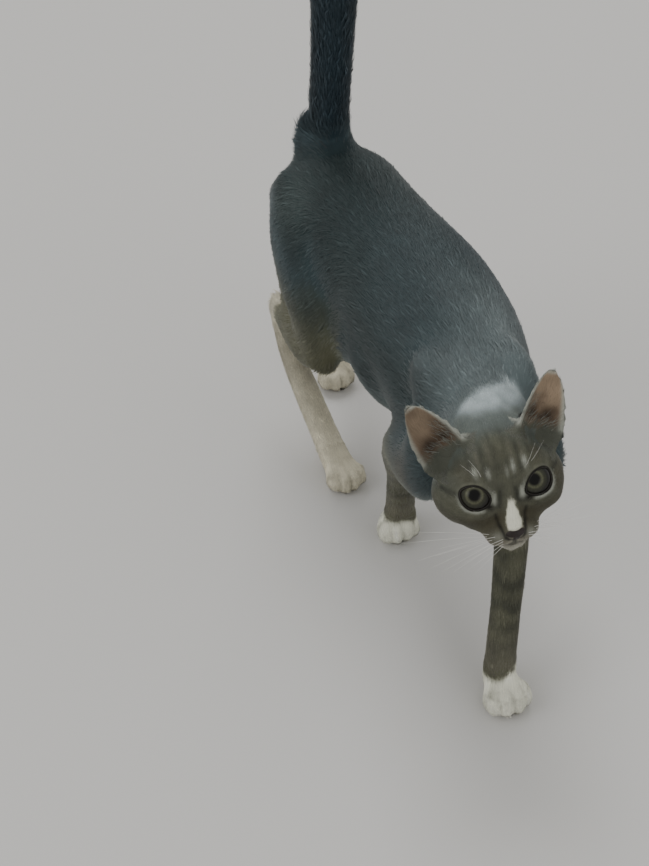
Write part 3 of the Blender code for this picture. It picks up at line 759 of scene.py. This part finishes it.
def unwrap(points, nodes):
    # shares round the region's axis and along it, and its girth and length in metres
    owned = np.concatenate([corners(node) for node in nodes])
    low, high = owned.min(axis=0), owned.max(axis=0)
    along, first, second = (1, 0, 2) if nodes[0] in bodyChain else (2, 0, 1)
    away = points - (low + high) / 2
    turn = np.arctan2(away[:, first], away[:, second]) / (2 * np.pi) + 0.5
    wide = high - low
    share = np.clip((points[:, along] - low[along]) / wide[along], 0, 1)
    return turn, share, np.pi * (wide[first] + wide[second]) / 2, wide[along]


def paintMesh(mesh, colours):
    layer = mesh.color_attributes.new("coatTint", "FLOAT_COLOR", "POINT")
    layer.data.foreach_set("color", colours.astype(np.float32).ravel())


def writeMap(mesh, name, coords):
    mesh.uv_layers.new(name=name).data.foreach_set("uv", coords.astype(np.float32).ravel())


# the skin piece, with a map along the lie in metres that never wraps round inside one face
paintMesh(skinMesh, np.c_[skinColours, np.full(len(skinColours), 0.5)])
loopVerts = read(skinMesh.loops, "vertex_index", 1, int)[:, 0]
faceStarts = read(skinMesh.polygons, "loop_start", 1, int)[:, 0]
faceOfLoop = np.searchsorted(faceStarts, np.arange(len(loopVerts)), side="right") - 1
regionOfLoop = regionOfNode[owners[loopVerts[faceStarts]]][faceOfLoop]
lieCoords = np.zeros((len(loopVerts), 2))
for region, nodes in enumerate(regions.values()):
    chosen = regionOfLoop == region
    turn, share, girth, length = unwrap(skinPoints[loopVerts], nodes)
    turn = turn - np.round(turn - turn[faceStarts[faceOfLoop]])
    lieCoords[chosen] = np.c_[turn * girth, share * length][chosen]
writeMap(skinMesh, "lie", lieCoords)
skinMesh.shade_smooth()
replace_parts(makeObject("skin", skinMesh, undercoat), *fleshNodes)
print("skin piece made")

# the coat: fine hairs in clumps, each a thin three-sided spike, and coarser bent locks among them
tuftSettings = {"mostTriangles": 196000, "mostLocks": 6000, "curl": 0.12, "ridge": 0.24, "patch": 0.003,
                "rooted": 0.3, "stray": 0.10, "lean": 0.45}
# a spike has two corners at the root's sides, one on its ridge, and the tip; a lock has three at the root,
# three at the bend, and the tip; reach goes from root to tip and across from side to side; larger is a kind's
# length, width and rise next to the part's own
hairKinds = {
    "spike": {"faces": [(0, 1, 3), (1, 2, 3), (2, 0, 3), (0, 2, 1)], "triangles": 4, "tones": 0.09,
              "larger": (1, 1, 1), "reach": (0, 0, 0, 1), "across": (-0.5, 0.5, 0, 0)},
    "lock": {"faces": [(0, 1, 4, 3), (1, 2, 5, 4), (2, 0, 3, 5), (3, 4, 6), (4, 5, 6), (5, 3, 6), (0, 2, 1)],
             "triangles": 10, "tones": 0.12, "larger": (1.25, 1.9, 1.35),
             "reach": (0, 0, 0, 0.6, 0.6, 0.6, 1), "across": (-0.5, 0.5, 0, -0.5, 0.5, 0, 0)},
}


def spread(hairs, kind):
    # corner places and shading directions of every hair of one kind, one row of corners for each
    normals, ways = hairs["normals"], hairs["ways"]
    units = np.array((mm, mm, np.pi / 180)) * hairKinds[kind]["larger"]
    length, width, rise = hairs["sizes"].T * units[:, None]
    count = len(length)
    ways = unit(ways + np.cross(normals, ways) * chance.normal(0, tuftSettings["stray"], count)[:, None])
    side = np.cross(normals, ways)
    start = hairs["roots"] - normals * tuftSettings["rooted"] * mm
    across = side * (width / 2)[:, None]
    ridge = normals * (width * tuftSettings["ridge"])[:, None]

    def onward(angle, far):
        return (ways * np.cos(angle)[:, None] + normals * np.sin(angle)[:, None]) * far[:, None]

    # hairs are shaded mostly as the body under them, a little rounded from side to side
    lean = tuftSettings["lean"] * side
    shading = [normals - lean, normals + lean, normals]
    if kind == "spike":
        places = [start - across, start + across, start + ridge, start + onward(rise, length)]
    else:
        high = rise * chance.uniform(-0.5, 0.4, count)
        bend = start + onward(rise, length / 2)
        curl = side * (chance.normal(0, tuftSettings["curl"], count) * length)[:, None]
        places = [start - across * 0.8, start + across * 0.8, start + ridge, bend - across, bend + across,
                  bend + ridge, bend + onward(high, length / 2) + curl]
        shading = shading * 2
    return np.stack(places, axis=1), unit(np.stack(shading + [normals], axis=1))


def coatPiece(name, nodes, groups):
    # one solid mesh of many hairs; groups gives each kind of hair where its hairs grow
    vertices, shadings, loops, starts, tints, patches = [], [], [], [], [], []
    vertexCount = loopCount = 0
    for kind, hairs in groups.items():
        count = len(hairs["roots"])
        if not count:
            continue
        shape = hairKinds[kind]
        corners, shading = spread(hairs, kind)
        each = corners.shape[1]
        pattern = np.concatenate(shape["faces"])
        offsets = np.cumsum([0] + [len(face) for face in shape["faces"]])[:-1]
        loops.append((pattern + each * np.arange(count)[:, None]).ravel() + vertexCount)
        starts.append((offsets + len(pattern) * np.arange(count)[:, None]).ravel() + loopCount)
        vertices.append(corners.reshape(-1, 3))
        shadings.append(shading.reshape(-1, 3))
        tone = np.clip(chance.normal(1, shape["tones"], count), 0.65, 1.4)[:, None]
        shades = np.repeat((hairs["colours"] * tone)[:, None, :], each, axis=1)
        tints.append(np.dstack([shades, np.tile(shape["reach"], (count, 1))]).reshape(-1, 4))
        turn, share, _, _ = unwrap(hairs["roots"], nodes)
        across, reach = np.array(shape["across"]), np.array(shape["reach"]) - 0.5
        u = np.clip(turn, 0.002, 0.998)[:, None] + across[pattern] * tuftSettings["patch"]
        v = np.clip(share, 0.002, 0.998)[:, None] + reach[pattern] * tuftSettings["patch"]
        patches.append(np.stack([u, v], axis=2).reshape(-1, 2))
        vertexCount += count * each
        loopCount += count * len(pattern)
    mesh = bpy.data.meshes.new(name)
    mesh.vertices.add(vertexCount)
    mesh.vertices.foreach_set("co", np.concatenate(vertices).astype(np.float32).ravel())
    mesh.loops.add(loopCount)
    mesh.loops.foreach_set("vertex_index", np.concatenate(loops).astype(np.int32))
    starts = np.concatenate(starts).astype(np.int32)
    mesh.polygons.add(len(starts))
    mesh.polygons.foreach_set("loop_start", starts)
    mesh.update(calc_edges=True)
    mesh.shade_smooth()
    paintMesh(mesh, np.concatenate(tints))
    writeMap(mesh, "OFBake", np.concatenate(patches))
    if not name.startswith("coatEar"):
        mesh.normals_split_custom_set_from_vertices(np.concatenate(shadings))
    makeObject(name, mesh, furCoat)


skinMesh.calc_loop_triangles()
triangles = read(skinMesh.loop_triangles, "vertices", 3, int)
first, second, third = skinPoints[triangles].transpose(1, 0, 2)
triangleArea = np.linalg.norm(np.cross(second - first, third - first), axis=1) / 2
triangleRegion = regionOfNode[owners[triangles[:, 0]]]
hairSizes = np.stack([relax(perNode[key][owners], 10) for key in ("length", "width", "rise")], axis=1)
headLocal = toHead(skinPoints)
# shorter towards the nose, and flatter on the far side of the neck
towardNose = hump(np.linalg.norm(headLocal - (0, 18, -18), axis=1), 22) * isHead
hairSizes[:, :2] *= 1 - towardNose[:, None] * (0.5, 0.35)
farNeck = (partNames[owners] == "neck") & (headLocal[:, 0] > 26)
hairSizes = np.where(farNeck[:, None], hairSizes * (0.6, 0.8, 0.5), hairSizes)
# no hair on the eyeballs, the lid rims or the nose leather
clear = np.ones(len(skinPoints))
for side in sides:
    far, outside, around = eyeField(skinPoints, side)
    clear = np.where((far < 17) & (outside < 0.10), 0, clear)
away = (headLocal - noseSettings["place"]) / noseSettings["radii"]
far = np.linalg.norm(away, axis=1)
clear = np.where((far < 1.25) & (away[:, 1] > 0.3 * far) & (away[:, 2] < 0.72 * far), 0, clear)
# inside the ears little of it, and long pale hairs that cross each ear from its inner edge
wispSettings = {"density": 0.5, "length": 8.0, "width": 0.30, "rise": 20, "most": 400}
bareEar = np.zeros(len(skinPoints))
wispShare = np.zeros(len(skinPoints))
for side, flip in sides.items():
    across, tall, facing = earPlane(skinPoints, flip)
    mine = nodeNames[owners] == "ear_" + side
    facingUs = skinNormals @ facing
    inside = ease(-0.05, 0.25, facingUs) * ease(1.0, 0.85, np.abs(across)) * ease(0, 0.1, tall)
    bareEar = np.where(mine, inside, bareEar)
    here = ease(-0.95, -0.75, across) * ease(-0.1, -0.5, across)
    here *= ease(0.0, 0.1, tall) * ease(0.62, 0.3, tall)
    here += ease(0.7, 0.4, np.abs(across)) * ease(-0.02, 0.06, tall) * ease(0.22, 0.12, tall)
    wispShare = np.where(mine, np.clip(here, 0, 1) * ease(0.1, 0.4, facingUs), wispShare)
hairArea = hairSizes[:, 0] * hairSizes[:, 1] * mm ** 2
fineDensity = perNode["layers"][owners] / (0.5 * hairArea) * clear * (1 - 0.8 * bareEar)
lockArea = 0.6 * hairArea * np.prod(hairKinds["lock"]["larger"][:2])
lockDensity = relax(perNode["locks"][owners], 10) / lockArea * clear


def sow(chosen, density, most):
    # hairs rooted on the chosen triangles, evenly by this density
    share = triangleArea[chosen] * density[triangles[chosen]].mean(axis=1)
    count = min(int(share.sum()), most)
    if count < 3:
        chosen, share, count = chosen[:1], np.ones(1), 0
    running = np.cumsum(share) / share.sum()
    picks = np.searchsorted(running, (np.arange(count) + chance.random(count)) / max(count, 1))
    picks = chosen[picks.clip(0, len(chosen) - 1)]
    first, second = chance.random(count), chance.random(count)
    fold = first + second > 1
    first, second = np.where(fold, 1 - first, first), np.where(fold, 1 - second, second)
    shares = np.stack([1 - first - second, first, second], axis=1)

    def at(values):
        return np.einsum("ij,ij...->i...", shares, values[triangles[picks]])

    hairs = {"roots": at(skinPoints), "normals": unit(at(skinNormals)), "sizes": at(hairSizes)}
    hairs["ways"] = flat(at(lies), hairs["normals"])
    hairs["sizes"] *= chance.uniform((0.75, 0.75, 0.5), (1.25, 1.25, 1.5), (count, 3))
    rootOwners = owners[triangles[picks, 0]]
    hairs["colours"] = markings(hairs["roots"], hairs["normals"], at(baseTint), at(baseWhite), rootOwners)
    keep = at(clear) > 0.99
    return {key: value[keep] for key, value in hairs.items()}


def wisps(chosen):
    grown = sow(chosen, wispSettings["density"] * wispShare / mm ** 2, wispSettings["most"])
    count = len(grown["roots"])
    size = np.array([wispSettings[key] for key in ("length", "width", "rise")])
    grown["sizes"] = size * chance.uniform((0.6, 0.8, 0.5), (1.2, 1.2, 1.4), (count, 3))
    flip = np.where(toHead(grown["roots"])[:, 0] > 0, 1, -1)
    wanted = headWay(np.stack([0.75 * flip, np.full(count, 0.1), np.full(count, 0.65)], axis=1))
    grown["ways"] = flat(wanted + chance.normal(0, 0.18, (count, 3)), grown["normals"])
    grown["colours"] = tint["silver"] * chance.uniform(0.40, 0.85, (count, 1))
    return grown


total = 0
for region, (name, nodes) in enumerate(regions.items()):
    chosen = np.flatnonzero(triangleRegion == region)
    areas = {name: chosen}
    if name == "Head":
        forward = toHead(skinPoints[triangles[chosen]].mean(axis=1))[:, 1] > -12
        areas = {"HeadFace": chosen[forward], "HeadCrown": chosen[~forward]}
    for label, mine in areas.items():
        locks = sow(mine, lockDensity, tuftSettings["mostLocks"])
        room = tuftSettings["mostTriangles"] - hairKinds["lock"]["triangles"] * len(locks["roots"])
        spikes = sow(mine, fineDensity, room // hairKinds["spike"]["triangles"])
        if name.startswith("Ear"):
            extra = wisps(mine)
            spikes = {key: np.concatenate([spikes[key], extra[key]]) for key in spikes}
        groups = {"spike": spikes, "lock": locks}
        coatPiece("coat" + label, nodes, groups)
        made = sum(hairKinds[kind]["triangles"] * len(hairs["roots"]) for kind, hairs in groups.items())
        print("coat", label, len(spikes["roots"]), "spikes", len(locks["roots"]), "locks", made, "triangles")
        total += made
print("coat made:", total, "triangles")


def eyePattern(tree):
    # u of the gaze map goes once round the pupil, v is the angle out from its middle (0.1 is 1 mm)
    where = addNode(tree, "UVMap", {"uv_map": "gaze"})
    apart = addNode(tree, "SeparateXYZ", None, {"Vector": (where, "UV")})
    # sixty threads round the iris
    fibres = addNode(tree, "Mapping", {"Scale": (60.0, 3.0, 1.0)}, {"Vector": (where, "UV")})
    threads = addNode(tree, "TexNoise", {"Scale": 1.0, "Detail": 3.0, "Roughness": 0.6},
                      {"Vector": (fibres, "Vector")})
    ramp = addNode(tree, "ValToRGB", None, {"Fac": (apart, "Y")})
    while len(ramp.color_ramp.elements) < len(irisStops):
        ramp.color_ramp.elements.new(0.5)
    for element, (place, shade) in zip(ramp.color_ramp.elements, irisStops.items()):
        element.position = place
        element.color = rgba(shade)
    return {"Base Color": (mottled(tree, (ramp, "Color"), threads, (0.3, 0.7), (0.75, 1.25)), "Vector")}


# living cat's eye: wet clear cornea over an olive iris with a round dark pupil
irisStops = {0.0: "#030303", 0.27: "#060605", 0.32: "#1f1f17", 0.41: "#47483a", 0.49: "#525341",
             0.60: "#35362b", 0.80: "#27281f", 0.90: "#12110d", 1.0: "#0e0c09"}
corneaSettings = {"Roughness": 0.4, "IOR": 1.376, "Specular IOR Level": 0.1, "Coat Weight": 0.6,
                  "Coat Roughness": 0.03, "Coat IOR": 1.336}
eyeGlass = makeMaterial("catEye", corneaSettings, eyePattern)
# eyeballs with a domed cornea that looks at the viewer
eyeShape = {"segments": 64, "rings": 48, "bulge": 0.45, "bulgeHalf": 0.85}
for side in sides:
    ball = bmesh.new()
    bmesh.ops.create_uvsphere(ball, u_segments=eyeShape["segments"], v_segments=eyeShape["rings"],
                              radius=eyeSettings["ball"] * mm)
    pole = Vector((0, 0, 1))
    for vert in ball.verts:
        bulge = eyeShape["bulge"] * float(ease(eyeShape["bulgeHalf"], 0.3, vert.co.angle(pole)))
        vert.co *= 1 + bulge / eyeSettings["ball"]
    layer = ball.loops.layers.uv.new("gaze")
    for face in ball.faces:
        base = math.atan2(face.calc_center_median().y, face.calc_center_median().x)
        for loop in face.loops:
            place = loop.vert.co
            turn = math.atan2(place.y, place.x) if place.xy.length > 1e-7 else base
            turn += 2 * math.pi * round((base - turn) / (2 * math.pi))
            loop[layer].uv = (turn / (2 * math.pi), place.angle(pole))
    gaze = pole.rotation_difference(Vector(cameraPlace - eyeCentre[side]))
    bmesh.ops.rotate(ball, verts=ball.verts, cent=(0, 0, 0), matrix=gaze.to_matrix())
    bmesh.ops.translate(ball, verts=ball.verts, vec=Vector(eyeCentre[side]))
    pieceName = "eye" + side.title()
    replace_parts(makeObject(pieceName, toMesh(pieceName, ball), eyeGlass), "eye_" + side)


def bareSkin(name, shade, roughness, grain):
    # bare skin of lids and nose: fine pebbled leather with grains of this many millimetres, slightly damp
    def pattern(tree):
        place = (addNode(tree, "TexCoord"), "Object")
        pebbles = addNode(tree, "TexVoronoi", {"Scale": 1 / (grain * mm)}, {"Vector": place})
        blotch = addNode(tree, "TexNoise", {"Scale": 1 / (3.3 * mm), "Detail": 3.0}, {"Vector": place})
        shaded = mottled(tree, shade, blotch, (0.3, 0.7), (0.75, 1.3))
        bump = addNode(tree, "Bump", {"Strength": 0.5, "Distance": 0.15 * mm},
                       {"Height": (pebbles, "Distance")})
        return {"Base Color": (shaded, "Vector"), "Normal": (bump, "Normal")}

    return makeMaterial(name, {"Roughness": roughness, "IOR": 1.4}, pattern)


def strandMesh(name, path, radii, closed, resolution=3):
    curve = bpy.data.curves.new(name, "CURVE")
    curve.dimensions = "3D"
    curve.bevel_depth = 1.0
    curve.bevel_resolution = resolution
    curve.use_fill_caps = True
    spline = curve.splines.new("POLY")
    spline.points.add(len(path) - 1)
    for point, place, radius in zip(spline.points, path, radii):
        point.co = (*place, 1)
        point.radius = radius
    spline.use_cyclic_u = closed
    mesh = applied(bpy.data.objects.new(name, curve))
    mesh.shade_smooth()
    return mesh


# eyelid rims: bare dark skin round each opening
lidSettings = {"radius": 0.55, "out": 0.25, "past": 0.03, "steps": 96, "shade": "#1b1712"}
lidSkin = bareSkin("catLidSkin", lidSettings["shade"], 0.45, 0.4)
for side in sides:
    front, outer, upper = eyeAxes(side)
    turns = np.linspace(0, 2 * np.pi, lidSettings["steps"], endpoint=False)
    size = (openingEdge(turns) + lidSettings["past"])[:, None]
    sideways = outer * np.cos(turns)[:, None] + upper * np.sin(turns)[:, None]
    ways = front * np.cos(size) + sideways * np.sin(size)
    path = eyeCentre[side] + ways * (eyeSettings["ball"] + lidSettings["out"]) * mm
    pieceName = "lidRim" + side.title()
    rim = strandMesh(pieceName, path, np.full(len(path), lidSettings["radius"] * mm), True)
    makeObject(pieceName, rim, lidSkin)
print("eyes and lids made")

# nose leather: a narrow-bottomed ball with nostrils, their slits and a groove down the middle
nose = bmesh.new()
bmesh.ops.create_uvsphere(nose, u_segments=56, v_segments=40, radius=1.0)
for vert in nose.verts:
    x, y, z = vert.co
    x *= 1 - 0.55 * ease(0.3, -1.0, z)
    push = -0.10 * ease(0.12, 0.0, abs(vert.co.x)) * (y < 0) * ease(0.3, -0.4, z)
    for flip in (1, -1):
        hole = math.hypot(x - 0.46 * flip, z + 0.18)
        push -= 0.42 * ease(0.26, 0.0, hole) * (y < 0)
        slit = abs(z + 0.30 - 0.3 * (abs(vert.co.x) - 0.5))
        slit += 3 * (max(0, 0.45 - vert.co.x * flip) + max(0, vert.co.x * flip - 0.95))
        push -= 0.22 * ease(0.2, 0.0, slit) * (y < 0.2)
    local = np.array((x * (1 + push), -y * (1 + push), z)) * noseSettings["radii"]
    vert.co = fromHead(noseSettings["place"] + local)
bmesh.ops.recalc_face_normals(nose, faces=nose.faces)
noseLeather = bareSkin("catNoseLeather", noseSettings["shade"], 0.42, 0.5)
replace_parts(makeObject("noseLeather", toMesh("noseLeather", nose), noseLeather), "nose")


def whiskerPattern(tree):
    # a little hazy every few millimetres
    where = addNode(tree, "TexCoord")
    haze = addNode(tree, "TexNoise", {"Scale": 1 / (2.5 * mm), "Detail": 2.0}, {"Vector": (where, "Object")})
    ramp = addNode(tree, "ValToRGB", None, {"Fac": (haze, "Fac")})
    ramp.color_ramp.elements[0].color = rgba("#d8d6d0")
    ramp.color_ramp.elements[1].color = rgba("#f3f2ee")
    return {"Base Color": (ramp, "Color")}


# whisker keratin: smooth, white and slightly glossy
keratin = makeMaterial("catWhisker", {"Roughness": 0.35, "IOR": 1.54}, whiskerPattern)
# whiskers in rows on the lip pads and two hairs over each eye: root, way, length, droop, thickness (head mm)
whiskerSettings = {"rows": 4, "perRow": 3, "longest": 52.0, "droop": (0.0, -0.18, -0.28), "thick": 0.12,
                   "browHairs": 2, "browLong": 19.0, "browThick": 0.09}
hairs = []
for flip in (1, -1):
    for row in range(whiskerSettings["rows"]):
        for place in range(whiskerSettings["perRow"]):
            root = np.array((flip * (8.0 + 3.2 * place), 19.5 - 2.8 * place, -22.5 - 2.0 * row + 0.4 * place))
            way = unit(np.array((flip, 0.25 - 0.22 * place, 0.22 - 0.24 * row)) + chance.normal(0, 0.05, 3))
            length = whiskerSettings["longest"] * (0.55 + 0.22 * place) * (1 - 0.12 * abs(row - 1.2))
            length *= chance.uniform(0.88, 1.0)
            hairs.append((root, way, length, np.array(whiskerSettings["droop"]), whiskerSettings["thick"]))
    for number in range(whiskerSettings["browHairs"]):
        root = np.array((flip * (14.0 + 3.5 * number), -2.0 * number, 14.5))
        way = unit(np.array((flip * (0.15 + 0.2 * number), 0.35, 1.0)) + chance.normal(0, 0.05, 3))
        droop = np.array((flip * 0.15, -0.35, -0.1))
        length = whiskerSettings["browLong"] - 2 * number
        hairs.append((root, way, length, droop, whiskerSettings["browThick"]))
joined = bmesh.new()
for root, way, length, droop, thick in hairs:
    steps = np.linspace(0, 1, 14)
    path = [fromHead(root + way * length * t + droop * length * t * t) for t in steps]
    joined.from_mesh(strandMesh("hair", path, thick * mm * (1 - 0.75 * steps), False, 1))
makeObject("whiskers", toMesh("whiskers", joined), keratin)
print("nose and whiskers made")

# plain pale floor: matt paint, so that it shows no reflection
floorSettings = {"radius": 60.0, "shade": "#cbcac8"}
ground = bmesh.new()
bmesh.ops.create_circle(ground, cap_ends=True, segments=64, radius=floorSettings["radius"])
floor = bpy.data.objects.new("floor", toMesh("floor", ground))
scene.collection.objects.link(floor)
mattFloor = {"Base Color": rgba(floorSettings["shade"]), "Roughness": 0.9, "Specular IOR Level": 0.0}
floor.data.materials.append(makeMaterial("studioFloor", mattFloor, lambda tree: {}))

# wide soft lamps far away, as watts a square metre; spread is the lamp's width in degrees seen from the cat
lightSettings = {
    "key": {"place": (0.2, 1.2, 2.0), "spread": 32, "power": 1.2},
    "sideFill": {"place": (-2.2, 0.2, 1.5), "spread": 40, "power": 0.58},
    "frontFill": {"place": (1.2, -2.6, 1.1), "spread": 46, "power": 0.30},
}
skySettings = {"shade": "#e6e5e2", "power": 0.84, "aim": (0, 0, 0.18)}
for name, spec in lightSettings.items():
    lamp = bpy.data.lights.new(name, "SUN")
    lamp.angle = math.radians(spec["spread"])
    lamp.energy = spec["power"]
    holder = bpy.data.objects.new(name, lamp)
    scene.collection.objects.link(holder)
    holder.location = spec["place"]
    aim = Vector(skySettings["aim"]) - Vector(spec["place"])
    holder.rotation_euler = aim.to_track_quat("-Z", "Y").to_euler()
world = bpy.data.worlds.new("softSky")
scene.world = world
world.use_nodes = True
sky = world.node_tree.nodes["Background"].inputs
sky["Color"].default_value = rgba(skySettings["shade"])
sky["Strength"].default_value = skySettings["power"]
